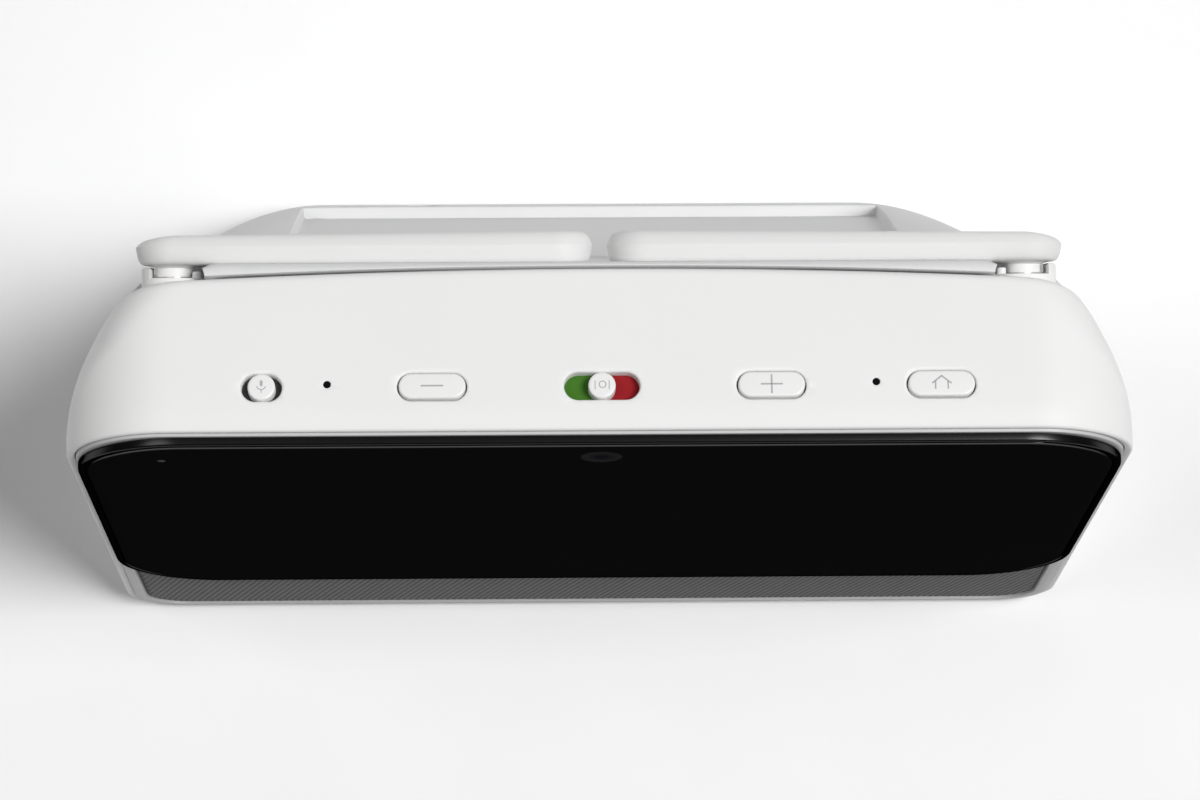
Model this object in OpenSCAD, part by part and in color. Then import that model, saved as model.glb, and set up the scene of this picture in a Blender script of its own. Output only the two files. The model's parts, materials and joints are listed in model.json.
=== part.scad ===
// Countertop smart display: a tilted touchscreen over a cloth-covered speaker,
// with a row of buttons on top and two folding antennas at the back.
// +X to the right, +Y to the back, +Z up. The origin is on the table under the middle.

/* [Body] */
// Overall width of the main shell
body_w = 190; // [186:1:200]
// Length of the sloping front face, bottom edge to top edge
face_h = 142; // [139:1:146]
// Lean of the screen from the vertical, degrees
tilt = 15; // [14:0.5:16]
// Fall of the top face towards the back, degrees
top_fall = 17.5; // [16:0.5:19]
// How far the foot of the body reaches in front of and behind the origin
half_depth = 41.35; // [41:0.05:43]
// Radius of the front face's upper corners
face_r = 19; // [18:0.5:21]
// Radius of its lower corners
foot_r = 11; // [10:0.5:14]
// Radius of the body's back corners, seen from above
back_r = 40.5; // [38:0.5:46]
// Wall thickness of the plastic shells
wall = 2.2; // [2:0.1:2.6]
// Thickness of the rubber feet
foot_h = 1.5; // [1:0.1:2.5]

/* [Screen] */
// Height of the display module's lower edge above the face's lower edge
display_low = 31.4; // [30:0.1:33]
// How far the display module stands out of the front face
display_proud = 2; // [1:0.1:2.5]
// Corner radius of the display module
display_r = 19.5; // [18:0.5:20]
// Thickness of the cover glass
glass_t = 1; // [0.7:0.1:1.2]

/* [Controls] */
// Distance of the button row behind the front edge, along the top face
row_y = 7.9; // [7.8:0.1:9]
// Length and width of a push button
pill_len = 11.7; // [11:0.1:13]
pill_wid = 4.6; // [4.4:0.1:4.9]
// Push travel of a button
press = 0.6; // [0.4:0.05:0.6]
// Diameter of a slider's knob
knob_d = 4.8; // [4.5:0.1:4.8]
// Length of the microphone switch's slot and of the camera switch's slot
mic_slot = 7.1; // [6.9:0.1:7.5]
cam_slot = 13.2; // [12:0.1:14]
// Distances from the middle to the volume buttons, microphone holes and outer controls
volume_x = 29.6; // [28:0.1:31]
mic_x = 47.9; // [47:0.1:49]
outer_x = 59.3; // [59:0.1:61]

/* [Antennas] */
// Distance of each hinge axis from the middle, and its height
hinge_x = 75.7; // [75:0.1:76]
hinge_z = 120; // [119:0.5:120.5]
// Paddle length from the hinge axis to the tip
paddle_len = 74.4; // [60:0.1:74.6]
// Paddle width and thickness
paddle_w = 13.6; // [12:0.1:14]
paddle_t = 5.8; // [5:0.1:6.5]
// Radius of the pivot
pivot_r = 3; // [2.5:0.1:3.2]

/* [Speaker] */
// Outer diameter of each driver
driver_d = 26; // [22:1:26]
// Distance of each driver from the middle
driver_x = 45; // [35:1:55]

/* [Hidden] */
$fn = 64;
e = 0.01;
face_y = -half_depth;                            // front face's lower edge
top_y = face_y + face_h * sin(tilt);             // front face's upper edge
top_z = foot_h + face_h * cos(tilt);
seam_w = 29.8;                                   // depth of the seam behind the front face, at the middle
seam_r = 1440;                                   // and its radius, seen from above
seam_gap = 0.35;
rear_y = 24.4;                                   // rear face at its upper edge
rear_z = top_z - (rear_y - top_y) * tan(top_fall);
step_z = 112;                                    // the rear face is upright above this height
heel_z = 20;                                     // and nearly upright below this one
plan_lean = atan(9.3 / 125);                     // the plan outline leans forward as it rises
rear_lean = atan((half_depth - 0.45 - rear_y) / (step_z - heel_z));
lip = 1.5;                                       // thickness of the shell's front lip
lip_d = 4.4;                                     // depth of the front opening
ring_in = 1.75;                                  // inset of the front frame
disp_in = 1.85;                                  // inset of the display module at its sides
disp_top = 2.2;                                  // and at its top
flange_w = -0.55;                                // back of the flange that covers the front frame
back_in = 1.7;                                   // how much smaller the module is behind its flange
cloth_in = 3.9;                                  // inset of the cloth
cloth_low = 2.4;                                 // its lower edge
rim = 1.25;                                      // rim of the display frame round the glass
lens_v = 130;                                    // camera height up the front face
lens_r = 3.65;
lcd_v = [39.5, 122];                             // lower and upper edges of the panel
lcd_x = 81;                                      // and its half width
cloth_r = 8.5;                                   // radius of the cloth's lower corners
notch_x = 70;                                    // the rear cover ends here beside the hinges
notch_z = 112.3;
boss_r = 5.8;
bush_r = 4.2;
boss_y = 22.45;                                  // outer face of the hinge socket
socket_y = 11.5;                                 // its inner end
paddle_y = 24.65;                                // front face of the folded paddle
neck = 1.95;                                     // length of the paddle's neck
flare = 0.4;                                     // and of its flare, outside the paddle
ear_gap = 0.35;                                  // between the socket's ear and the paddle
mic_hole_r = 0.6;
inlet = [-35, 29, 13];                           // front end of the power inlet's barrel
board_x = [-56, 56];                             // board screws across
board_v = [54, 108];                             // and up the face
slot_wid = 5;                                    // width of the sliders' slots
knob_play = (knob_d + 0.4) / 2;
cam_travel = cam_slot / 2 - knob_play;
label_z = -2.6;                                  // underside of the slot floors
carrier_z = -3.9;                                // underside of the sliders
board_z = -8;                                    // underside of the button board
bay_x = 58;                                      // half width of the rear bay
bay_z = [24, 104];
bay_d = 2.4;
driver_v = 17.6;                                 // height of the drivers up the face
driver_w = 4.4;                                  // front of the speaker box
box_w = 20;                                      // and its back
screw_spots = [[-67, 92], [67, 92]];             // rear screws, on the front face's frame
post_w = 27;                                     // the shell's screw posts end here
base_screw_x = 60;                               // screws under the base
base_screw_y = -14.5;

// ---- outlines -------------------------------------------------------------

// Rectangle with round corners, centred in x, from y0 to y1. The lower radius is the smaller.
module round_rect(half, y0, y1, r, low_r) {
    lr = is_undef(low_r) ? r : low_r;
    translate([-half + r, y0]) square([2 * (half - r), y1 - y0]);
    translate([-half + lr, y0]) square([2 * (half - lr), y1 - y0 - r]);
    translate([-half, y0 + lr]) square([2 * half, y1 - y0 - r - lr]);
    for (s = [-1, 1]) {
        translate([s * (half - r), y1 - r]) circle(r);
        translate([s * (half - lr), y0 + lr]) circle(lr);
    }
}

// Front face of the body, drawn in by an inset.
module face_outline(inset = 0) {
    round_rect(body_w / 2 - inset, inset, face_h - inset, face_r - inset, foot_r - inset);
}

// Outline of the display module, grown or drawn in.
module display_outline(grow = 0) {
    round_rect(body_w / 2 - disp_in + grow, display_low - grow, face_h - disp_top + grow,
        display_r + grow);
}

// Side profile of the body, in (y, z).
function profile(inset) = [
    [-half_depth, foot_h], [top_y, top_z], [rear_y, rear_z], [rear_y + 0.15, step_z],
    [half_depth - 0.3, heel_z], [half_depth, foot_h + 4], [half_depth - 4, foot_h]
];

// Where two lines meet, each given by a point and a direction.
function meet(p, a, q, b) = p + a * cross(q - p, b) / cross(a, b);

// A clockwise outline drawn in by t on every side.
function drawn_in(pts, t) = let (n = len(pts)) [for (i = [0:n - 1])
    let (p0 = pts[(i + n - 1) % n], p1 = pts[i], p2 = pts[(i + 1) % n],
        a = (p1 - p0) / norm(p1 - p0), b = (p2 - p1) / norm(p2 - p1))
    meet(p1 + t * [a[1], -a[0]], a, p1 + t * [b[1], -b[0]], b)];

// Body seen from above: straight sides running into large round back corners.
module plan_outline(inset) {
    x = body_w / 2 - back_r;
    translate([-body_w / 2 + inset, -2 * half_depth])
        square([body_w - 2 * inset, 2 * half_depth + half_depth - back_r]);
    translate([-x, -half_depth]) square([2 * x, 2 * half_depth - inset]);
    for (s = [-1, 1]) translate([s * x, half_depth - back_r]) circle(back_r - inset, $fn = 128);
}

// ---- frames of reference ----------------------------------------------------

// Front face: x across, y into the body, z up the face.
module on_face() translate([0, face_y, foot_h]) rotate([-tilt, 0, 0]) children();

// Top face: x across, y to the back, z out of the face.
module on_top() translate([0, top_y, top_z]) rotate([-top_fall, 0, 0]) children();

// A flat outline made solid between two depths behind the front face.
module slab(w0, w1) on_face() translate([0, w1, 0]) rotate([90, 0, 0])
    linear_extrude(w1 - w0) children();

// Everything in front of the seam, moved back by an offset. The seam bows to the back.
module before_seam(offset = 0) on_face() translate([0, seam_w - seam_r + offset, -100])
    cylinder(r = seam_r, h = 400, $fn = 720);

// A box in the face's frame, from its low corner to its high corner.
module face_box(a, b) on_face() translate(a) cube(b - a);

// A box in the top face's frame.
module top_box(a, b) on_top() translate(a) cube(b - a);

// A stadium standing on the top face, with its middle at x and the row's line.
module pill(x, len, wid, z0, z1) on_top() translate([x, row_y, z0]) linear_extrude(z1 - z0) {
    square([len - wid, wid], center = true);
    for (s = [-1, 1]) translate([s * (len - wid) / 2, 0]) circle(wid / 2);
}

// ---- the body's solid shape ---------------------------------------------------

// The whole body as one block, drawn in on every side by an inset.
module body_block(inset = 0) intersection() {
    rotate([90, 0, 90]) translate([0, 0, -body_w]) linear_extrude(2 * body_w)
        polygon(inset == 0 ? profile(0) : drawn_in(profile(0), inset));
    slab(-10, 120) face_outline(inset);
    translate([0, 0, foot_h]) rotate([plan_lean, 0, 0]) translate([0, 0, -20])
        linear_extrude(190) plan_outline(inset);
}

// The corners beside the hinges, which belong to the main shell.
module hinge_corners(grow = 0) for (s = [-1, 1])
    translate([s > 0 ? notch_x - grow : -200 - notch_x + grow, 0, notch_z - grow])
        cube([200, 80, 60]);

// The shallow bay in the rear face, with its floor parallel to the face.
module bay(grow = 0) translate([0, half_depth - 0.3, heel_z]) rotate([rear_lean, 0, 0])
    translate([-bay_x - grow, -bay_d - grow, bay_z[0] - heel_z - grow])
        cube([2 * (bay_x + grow), 30, bay_z[1] - bay_z[0] + 2 * grow]);

// ---- housing ------------------------------------------------------------------

module main_shell() color("white") difference() {
    union() {
        difference() {
            intersection() { body_block(); before_seam(); }
            intersection() { body_block(wall); slab(lip_d - e, 60) square(500, center = true); }
            slab(-2, lip_d) face_outline(lip);
        }
        intersection() {
            body_block();
            hinge_corners();
            before_seam();
            translate([-body_w, socket_y, 0]) cube([2 * body_w, 50, 200]);
        }
        for (s = [-1, 1]) at_hinge(s) hinge_socket();
        for (p = screw_spots) on_face() translate([p[0], post_w - 4, p[1]]) rotate([-90, 0, 0])
            cylinder(r = 3, h = 4);
        intersection() { before_seam(); at_base_screws() cylinder(r = 4.5, h = 2.5); }
        intersection() {
            body_block(wall / 2);
            for (p = screw_spots) face_box([min(p[0], sign(p[0]) * 100), post_w - 4, p[1] - 1],
                [max(p[0], sign(p[0]) * 100), post_w - 2, p[1] + 1]);
        }
    }
    for (s = [-1, 1]) at_hinge(s) cylinder(r = bush_r, h = 60);
    for (x = [-volume_x, volume_x, outer_x]) pill(x, pill_len + 0.5, pill_wid + 0.5, -6, 3);
    pill(-outer_x, mic_slot, slot_wid, -6, 3);
    pill(0, cam_slot, slot_wid, -6, 3);
    for (x = [-mic_x, mic_x]) on_top() translate([x, row_y + 0.5, -6]) cylinder(r = mic_hole_r, h = 9);
    for (p = screw_spots) on_face() translate([p[0], 20, p[1]]) rotate([-90, 0, 0]) cylinder(r = 1.25, h = 20);
    at_base_screws() {
        translate([0, 0, -1]) cylinder(r = 2.7, h = 2.4);
        cylinder(r = 1.4, h = 6);
    }
}

module at_base_screws() for (s = [-1, 1]) translate([s * base_screw_x, base_screw_y, foot_h]) children();

// Puts a piece on a hinge axis, with its z pointing to the back.
module at_hinge(s) translate([s * hinge_x, 0, hinge_z]) rotate([-90, 0, 0]) scale([s, 1, 1]) children();

// Round socket with a raised ear on its outer side and a small stop pin.
module hinge_socket() {
    translate([0, 0, socket_y]) cylinder(r = boss_r, h = boss_y - socket_y);
    intersection() {
        translate([0, 0, socket_y]) cylinder(r = boss_r, h = paddle_y - ear_gap - socket_y);
        translate([pivot_r + 0.9, -5, 0]) cube([10, 10, 60]);
    }
    translate([-4.2, -2.6, boss_y - 1]) cylinder(r = 0.8, h = paddle_y - neck - boss_y + 0.9);
}

module front_frame() color("gainsboro") difference() {
    slab(-0.5, lip_d - 0.2) face_outline(ring_in);
    slab(-2, lip_d + 1) display_outline(0.15 - back_in);
    slab(-2, lip_d + 1) cloth_outline(0);
}

module rear_cover() color("lightgray") difference() {
    union() {
        difference() {
            body_block();
            before_seam(seam_gap);
            hinge_corners();
            bay();
            difference() {
                intersection() { body_block(wall); slab(seam_w - 1, 120) square(500, center = true); }
                hinge_corners(wall);
                bay(wall);
            }
        }
        difference() {
            intersection() {
                body_block(wall + 0.3);
                before_seam(seam_gap + 2);
            }
            before_seam(-2.5);
            body_block(wall + 1.5);
            hinge_corners(0.3);
        }
        intersection() {
            for (p = screw_spots) on_face() translate([p[0], post_w, p[1]]) rotate([-90, 0, 0])
                cylinder(r = 4.4, h = 60);
            body_block();
        }
        at_base_screws() translate([0, 0, 2.8]) cylinder(r = 3.2, h = 6);
    }
    at_base_screws() cylinder(r = 1.25, h = 9);
    for (p = screw_spots) on_face() translate([p[0], 0, p[1]]) rotate([-90, 0, 0]) {
        cylinder(r = 1.6, h = 120);
        translate([0, 0, post_w + 3]) cylinder(r = 2.9, h = 120);
    }
    translate(inlet) rotate([-90, 0, 0]) cylinder(r = 4.3, h = 40);
}

module rubber_feet() color("dimgray") for (y = [-36, 14])
    translate([0, y, 0]) linear_extrude(foot_h) round_rect(64, 0, 12, 4);

module case_screw(len) {
    translate([0, 0, -len]) cylinder(r = 1.25, h = len + e);
    cylinder(r = 2.5, h = 1.3);
}

module case_screws() color("silver") {
    for (p = screw_spots) on_face() translate([p[0], post_w + 3, p[1]]) rotate([-90, 0, 0]) case_screw(7);
    at_base_screws() translate([0, 0, 1.4]) rotate([180, 0, 0]) case_screw(6);
}

// ---- front ---------------------------------------------------------------------

module display_frame() color([0.12, 0.12, 0.13]) difference() {
    union() {
        slab(-display_proud, flange_w) display_outline();
        slab(flange_w - e, 3.8) display_outline(-back_in);
    }
    slab(-display_proud - 1, 0.1 - display_proud + glass_t) display_outline(-rim);
    slab(-display_proud - 1, 5) display_outline(-back_in - 1.5);
}

module cover_glass() color([0.03, 0.03, 0.04]) slab(-display_proud, glass_t - display_proud)
    display_outline(-rim - 0.35);

module lcd_panel() color([0.1, 0.1, 0.14]) slab(glass_t - display_proud + 0.1, 2.6)
    translate([-lcd_x, lcd_v[0]]) square([2 * lcd_x, lcd_v[1] - lcd_v[0]]);

module camera_module() color([0.15, 0.15, 0.16]) difference() {
    face_box([-4.5, 0.4, lens_v - 3.9], [4.5, 6, lens_v + 3.9]);
    on_face() translate([0, -1, lens_v]) rotate([-90, 0, 0]) cylinder(r = 2.6, h = 4);
}

module camera_lens() color([0.2, 0.22, 0.3]) on_face() translate([0, 0.6, lens_v]) rotate([-90, 0, 0])
    cylinder(r = 2.6, h = 2.4);

// Blade between the glass and the lens, on a cranked arm up to the camera slider.
module camera_shutter() color([0.25, 0.25, 0.26]) {
    x0 = -cam_travel - lens_r - 0.2;
    x1 = x0 + 2 * lens_r + 0.4;
    arm_v = face_h - 6.8;
    face_box([x0, -0.7, lens_v - lens_r - 0.2], [x1, -0.3, arm_v + 0.8]);
    face_box([x0, -0.7, arm_v], [x1, 6.8, arm_v + 0.8]);
    face_box([x0, 6, arm_v], [x1, 6.8, face_h + carrier_z - 0.2]);
}

module light_sensor() color([0.2, 0.1, 0.1]) face_box([-78.6, -0.9, lens_v - 2], [-76.6, 1.1, lens_v]);

// Slotted backing that the cloth is stretched over.
module grille_carrier() color([0.2, 0.2, 0.2]) difference() {
    slab(0.6, 2.6) difference() { cloth_outline(0.2); display_outline(0.3 - back_in); }
    for (i = [-12:12]) slab(-1, 4) translate([i * 6.2, driver_v]) square([3.2, 22], center = true);
}

// The cloth's outline with its upper edge left behind the display module.
module cloth_outline(inset) round_rect(body_w / 2 - cloth_in - inset, cloth_low + inset,
    display_low + display_r + 3 - inset, cloth_r - inset);

module grille_cloth() color("gray") slab(0, 0.6) difference() {
    cloth_outline(0.1);
    display_outline(0.2 - back_in);
}

// ---- sound -----------------------------------------------------------------------

module at_drivers() for (s = [-1, 1]) on_face() translate([s * driver_x, driver_w, driver_v])
    rotate([-90, 0, 0]) children();

module speaker_box() color([0.18, 0.18, 0.18]) difference() {
    intersection() {
        face_box([-78, driver_w, 4.2], [78, box_w, 31.2]);
        body_block(wall + 0.6);
    }
    intersection() {
        face_box([-76.4, driver_w + 1.6, 5.8], [76.4, box_w - 1.6, 29.6]);
        body_block(wall + 2.2);
    }
    at_drivers() translate([0, 0, -1]) cylinder(d = driver_d - 3, h = 4);
}

module speaker_seals() color("black") at_drivers() translate([0, 0, -1.6]) difference() {
    cylinder(d = driver_d, h = 0.6);
    translate([0, 0, -1]) cylinder(d = driver_d - 2.4, h = 3);
}

module speaker_baskets() color([0.3, 0.3, 0.32]) at_drivers() rotate_extrude() polygon([
    [driver_d / 2 - 2.3, -1], [driver_d / 2, -1], [driver_d / 2, 0], [driver_d / 2 - 1.6, 0],
    [9.2, 9], [4, 9], [4, 8.2], [8.5, 8.2], [driver_d / 2 - 2.3, 0]
]);

module speaker_magnets() color("silver") at_drivers() translate([0, 0, 9]) cylinder(r = 7.5, h = 4.6);

module speaker_cones() color([0.1, 0.1, 0.1]) at_drivers() rotate_extrude() polygon([
    [0, 4.6], [3.4, 4.6], [9.2, 0], [driver_d / 2 - 2.3, -0.6], [driver_d / 2 - 2.3, -0.2],
    [9.4, 0.5], [3.6, 5.2], [0, 5.2]
]);

// ---- electronics ---------------------------------------------------------------------

module chassis_plate() color("silver") {
    slab(7.2, 8.2) translate([-84, 39]) square([168, 80]);
    for (x = board_x, z = board_v) on_face() translate([x, 8.2 - e, z]) rotate([-90, 0, 0])
        cylinder(r = 2.4, h = 5.8 + e);
}

module heat_spreader() color("silver") slab(10.4, 11.4) translate([-40, 56]) square([80, 50]);

module thermal_pad() color("lightblue") slab(11.4, 12.6) translate([-8, 75]) square([16, 16]);

module processor() color([0.1, 0.1, 0.1]) slab(12.6, 14) translate([-8, 75]) square([16, 16]);

module main_board() color("darkgreen") difference() {
    slab(14, 15.6) translate([-60, 50]) square([120, 62]);
    for (x = board_x, z = board_v) on_face() translate([x, 10, z]) rotate([-90, 0, 0])
        cylinder(r = 1.3, h = 8);
}

module board_screws() color("silver") for (x = board_x, z = board_v) on_face()
    translate([x, 14, z]) rotate([-90, 0, 0]) {
        cylinder(r = 1.25, h = 1.6 + e);
        translate([0, 0, 1.6]) cylinder(r = 2.3, h = 1.4);
    }

module shield_can() color("silver") difference() {
    slab(15.6, 18.6) translate([-30, 58]) square([56, 26]);
    slab(15, 18.3) translate([-29.7, 58.3]) square([55.4, 25.4]);
}

module radio_module() color("silver") slab(15.6, 17.8) translate([-14, 89]) square([28, 18]);

// Flat cable from the back of the panel, under the chassis plate and up to the board.
module display_ribbon() color("orange") for (run = [
    [[2.6, 60], [4.6, 60.2]], [[4.4, 36.8], [4.6, 60.2]], [[4.4, 36.8], [13.2, 37]],
    [[13, 36.8], [13.2, 55]], [[13, 51], [14, 55]]
]) face_box([-50, run[0][0], run[0][1]], [-34, run[1][0], run[1][1]]);

module button_board() color("darkgreen") difference() {
    top_box([-68, 5.4, board_z], [68, 15, board_z + 1.2]);
    top_box([-13, 0, board_z - 1], [5.5, 8.4, board_z + 3]);
}

module tact_switches() color([0.2, 0.2, 0.2]) for (x = [-volume_x, volume_x, outer_x])
    top_box([x - 3, row_y - 1.8, board_z + 1.2], [x + 3, row_y + 1.8, -3.6 - press - 0.1]);

module slide_switches() color("silver") for (x = [-outer_x, 11])
    top_box([x - 3.5, row_y - 1.5, board_z + 1.2], [x + 3.5, row_y + 1.5, carrier_z - 0.4]);

module microphones() color("gold") for (x = [-mic_x, mic_x])
    top_box([x - 1.8, row_y - 1.4, board_z + 1.2], [x + 1.8, row_y + 2.4, board_z + 2.3]);

// ---- controls --------------------------------------------------------------------------

// A push button: its cap through the shell and a flange under it.
module push_button(x) {
    pill(x, pill_len, pill_wid, -3, 0.5);
    pill(x, pill_len + 2.2, 6, -3.6, -2.6);
}

module volume_down_button() color("white") push_button(-volume_x);

module volume_up_button() color("white") push_button(volume_x);

module home_button() color("white") push_button(outer_x);

// A sliding knob on a thin neck, with its carrier under the slot floor.
module slider(x, carrier_len) {
    on_top() translate([x, row_y, -2.1]) cylinder(d = knob_d, h = 2.5);
    top_box([x - 1, row_y - 0.5, carrier_z], [x + 1, row_y + 0.5, -2]);
    top_box([x - carrier_len / 2, row_y - 3, carrier_z], [x + carrier_len / 2, row_y + 3, label_z - 0.3]);
}

module mic_slider() color("white") slider(-outer_x, 6);

module camera_slider() color("white") {
    slider(0, 10);
    top_box([-cam_travel - lens_r - 0.2, row_y - 3, carrier_z], [0, row_y, label_z - 0.3]);
}

// Floor of a slot, with a slit for the slider's neck.
module slot_floor(x0, x1, slit_x, slit_len) difference() {
    top_box([x0, row_y - 3.2, label_z], [x1, row_y + 4, label_z + 0.3]);
    top_box([slit_x - slit_len / 2, row_y - 0.8, label_z - 1], [slit_x + slit_len / 2, row_y + 0.8, 0]);
}

module mic_slot_floor() color([0.05, 0.05, 0.05])
    slot_floor(-outer_x - 5, -outer_x + 5, -outer_x, mic_slot - 2 * knob_play + 2.6);

module camera_on_label() color("green") slot_floor(-8.4, 0, 0, 2 * cam_travel + 2.6);

module camera_off_label() color("firebrick") slot_floor(0, 8.4, 0, 2 * cam_travel + 2.6);

// ---- power ----------------------------------------------------------------------------

module dc_inlet() color([0.1, 0.1, 0.1]) difference() {
    union() {
        translate(inlet) rotate([-90, 0, 0]) cylinder(r = 4.1, h = 10.2);
        translate(inlet - [5, 2, 5.4]) cube([10, 7, 10]);
    }
    translate(inlet + [0, 2, 0]) rotate([-90, 0, 0]) cylinder(r = 2.75, h = 20);
}

module dc_inlet_pin() color("gold") translate(inlet + [0, 2, 0]) rotate([-90, 0, 0]) cylinder(r = 1, h = 8);

// ---- antennas ----------------------------------------------------------------------------

// Puts a right-hand antenna piece on one side: -1 is left, 1 is right.
module side(s) if (s > 0) children(); else mirror([1, 0, 0]) children();

// Flat paddle folded towards the middle, with a flared neck towards its socket.
module paddle() difference() {
    union() {
        intersection() {
            translate([0, paddle_y, 0]) rotate([-90, 0, 0]) linear_extrude(paddle_t) {
                for (x = [hinge_x, hinge_x - paddle_len + paddle_w / 2])
                    translate([x, -hinge_z]) circle(paddle_w / 2);
                translate([hinge_x - paddle_len + paddle_w / 2, -hinge_z - paddle_w / 2])
                    square([paddle_len - paddle_w / 2, paddle_w]);
            }
            translate([-20, paddle_y, hinge_z]) rotate([90, 0, 90]) linear_extrude(120)
                translate([paddle_t / 2, 0]) round_rect(paddle_t / 2, -paddle_w / 2, paddle_w / 2, 2.6);
        }
        at_hinge(1) translate([0, 0, paddle_y - neck]) cylinder(r = pivot_r + 0.3, h = neck);
        at_hinge(1) translate([0, 0, paddle_y - flare]) cylinder(r1 = pivot_r + 0.3, r2 = 6.2, h = 1.2);
    }
    translate([hinge_x - 62, paddle_y + 2.3, hinge_z - 4]) cube([56, 1.2, 8]);
    at_hinge(1) cylinder(r = pivot_r - 0.6, h = paddle_y + 2);
}

module antenna_left() color("white") side(-1) paddle();

module antenna_right() color("white") side(1) paddle();

module strip() translate([hinge_x - 61.8, paddle_y + 2.5, hinge_z - 3.8]) cube([55.6, 0.8, 7.6]);

module antenna_strip_left() color("gold") side(-1) strip();

module antenna_strip_right() color("gold") side(1) strip();

// Hollow stub that turns in the bush, with a groove for its clip.
module pivot() at_hinge(1) difference() {
    union() {
        translate([0, 0, 9]) cylinder(r = pivot_r, h = paddle_y - neck - 9);
        translate([0, 0, 20]) cylinder(r = pivot_r - 0.6, h = paddle_y + 2 - 20);
    }
    cylinder(r = 1.2, h = 60);
    translate([0, 0, 10]) difference() {
        cylinder(r = 5, h = 0.9);
        translate([0, 0, -1]) cylinder(r = pivot_r - 0.5, h = 3);
    }
}

module antenna_pivot_left() color("silver") side(-1) pivot();

module antenna_pivot_right() color("silver") side(1) pivot();

module bush() at_hinge(1) difference() {
    translate([0, 0, socket_y]) cylinder(r = bush_r, h = boss_y - socket_y);
    cylinder(r = pivot_r + 0.05, h = 60);
}

module antenna_bush_left() color("goldenrod") side(-1) bush();

module antenna_bush_right() color("goldenrod") side(1) bush();

module clip() at_hinge(1) difference() {
    translate([0, 0, 10.1]) cylinder(r = 4.4, h = 0.7);
    cylinder(r = pivot_r - 0.5, h = 60);
    translate([-1, -10, 0]) cube([2, 10, 60]);
}

module antenna_clip_left() color("silver") side(-1) clip();

module antenna_clip_right() color("silver") side(1) clip();

// A thin lead through the points of its route.
module lead(pts, r) for (i = [0:len(pts) - 2]) let (a = pts[i], d = pts[i + 1] - pts[i], n = norm(d)) {
    translate(a) rotate([0, acos(d[2] / n), atan2(d[1], d[0])]) cylinder(r = r, h = n, $fn = 24);
    if (i > 0) translate(a) sphere(r = r + 0.06, $fn = 24);
}

lead_route = [[12, 2.6, 93.3], [16, 6.8, 109], [40, 6.8, 114], [66, 6.8, 118], [hinge_x, 8, hinge_z]];

module antenna_lead_left() color("black") side(-1) lead(lead_route, 0.7);

module antenna_lead_right() color("black") side(1) lead(lead_route, 0.7);

main_shell();
front_frame();
display_frame();
cover_glass();
lcd_panel();
camera_module();
camera_lens();
camera_shutter();
light_sensor();
grille_carrier();
grille_cloth();
speaker_box();
speaker_baskets();
speaker_magnets();
speaker_cones();
speaker_seals();
chassis_plate();
heat_spreader();
thermal_pad();
processor();
main_board();
shield_can();
radio_module();
display_ribbon();
button_board();
tact_switches();
slide_switches();
microphones();
volume_down_button();
volume_up_button();
home_button();
mic_slider();
camera_slider();
mic_slot_floor();
camera_on_label();
camera_off_label();
rear_cover();
case_screws();
board_screws();
dc_inlet();
dc_inlet_pin();
rubber_feet();
antenna_left();
antenna_right();
antenna_strip_left();
antenna_strip_right();
antenna_pivot_left();
antenna_pivot_right();
antenna_bush_left();
antenna_bush_right();
antenna_clip_left();
antenna_clip_right();
antenna_lead_left();
antenna_lead_right();
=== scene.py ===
import json
import math

import bmesh
import bpy
import numpy as np
from mathutils import Matrix, Vector


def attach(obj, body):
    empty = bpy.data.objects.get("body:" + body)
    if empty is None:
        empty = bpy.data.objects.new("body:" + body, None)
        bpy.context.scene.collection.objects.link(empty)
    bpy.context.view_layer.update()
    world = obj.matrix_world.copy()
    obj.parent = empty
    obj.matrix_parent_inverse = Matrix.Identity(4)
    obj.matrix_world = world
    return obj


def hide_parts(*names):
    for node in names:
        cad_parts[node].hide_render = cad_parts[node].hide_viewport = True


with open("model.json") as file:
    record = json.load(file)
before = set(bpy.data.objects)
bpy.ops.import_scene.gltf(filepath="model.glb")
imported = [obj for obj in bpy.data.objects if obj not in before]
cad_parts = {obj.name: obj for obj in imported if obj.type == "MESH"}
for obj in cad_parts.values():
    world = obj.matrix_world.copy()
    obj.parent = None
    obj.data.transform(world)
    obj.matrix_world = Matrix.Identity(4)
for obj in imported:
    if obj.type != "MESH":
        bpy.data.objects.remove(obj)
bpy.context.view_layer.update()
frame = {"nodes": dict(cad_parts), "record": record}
MM = 0.001

# ---- the CAD's driving dimensions ---------------------------------------------------
HALF_W, FACE_H, HALF_D, FOOT = 95.0, 142.0, 41.35, 1.5
TILT, FALL = math.radians(15), math.radians(17.5)
FACE_R, FOOT_R, BACK_R = 19.0, 11.0, 40.5
WALL, LIP, LIP_D = 2.2, 1.5, 4.4
SEAM_W, SEAM_R, SEAM_GAP = 29.8, 1440.0, 0.35
REAR_Y, STEP_Z, HEEL_Z = 24.4, 112.0, 20.0
DISP_HALF, DISP_LOW, DISP_TOP, DISP_R = 93.15, 31.4, 139.8, 19.5
PROUD, GLASS_T, FLANGE_W, BACK_IN, RIM, GLASS_IN = 2.0, 1.0, -0.55, 1.7, 1.25, 1.6
RING_IN, CLOTH_IN, CLOTH_LOW, CLOTH_R = 1.75, 3.9, 2.4, 8.5
ROW_Y, PILL_L, PILL_W, KNOB_D, MIC_SLOT, CAM_SLOT, SLOT_W = 7.9, 11.7, 4.6, 4.8, 7.1, 13.2, 5.0
VOLUME_X, MIC_X, OUTER_X = 29.6, 47.9, 59.3
HINGE_X, HINGE_Z, PADDLE_LEN, PADDLE_W, PADDLE_T = 75.7, 120.0, 74.4, 13.6, 5.8
PIVOT_R, BOSS_R, BOSS_Y, PADDLE_Y, NECK, EAR_GAP = 3.0, 5.8, 22.45, 24.65, 1.95, 0.35
INLET_X, INLET_Z, INLET_R = -35.0, 13.0, 4.3
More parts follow.
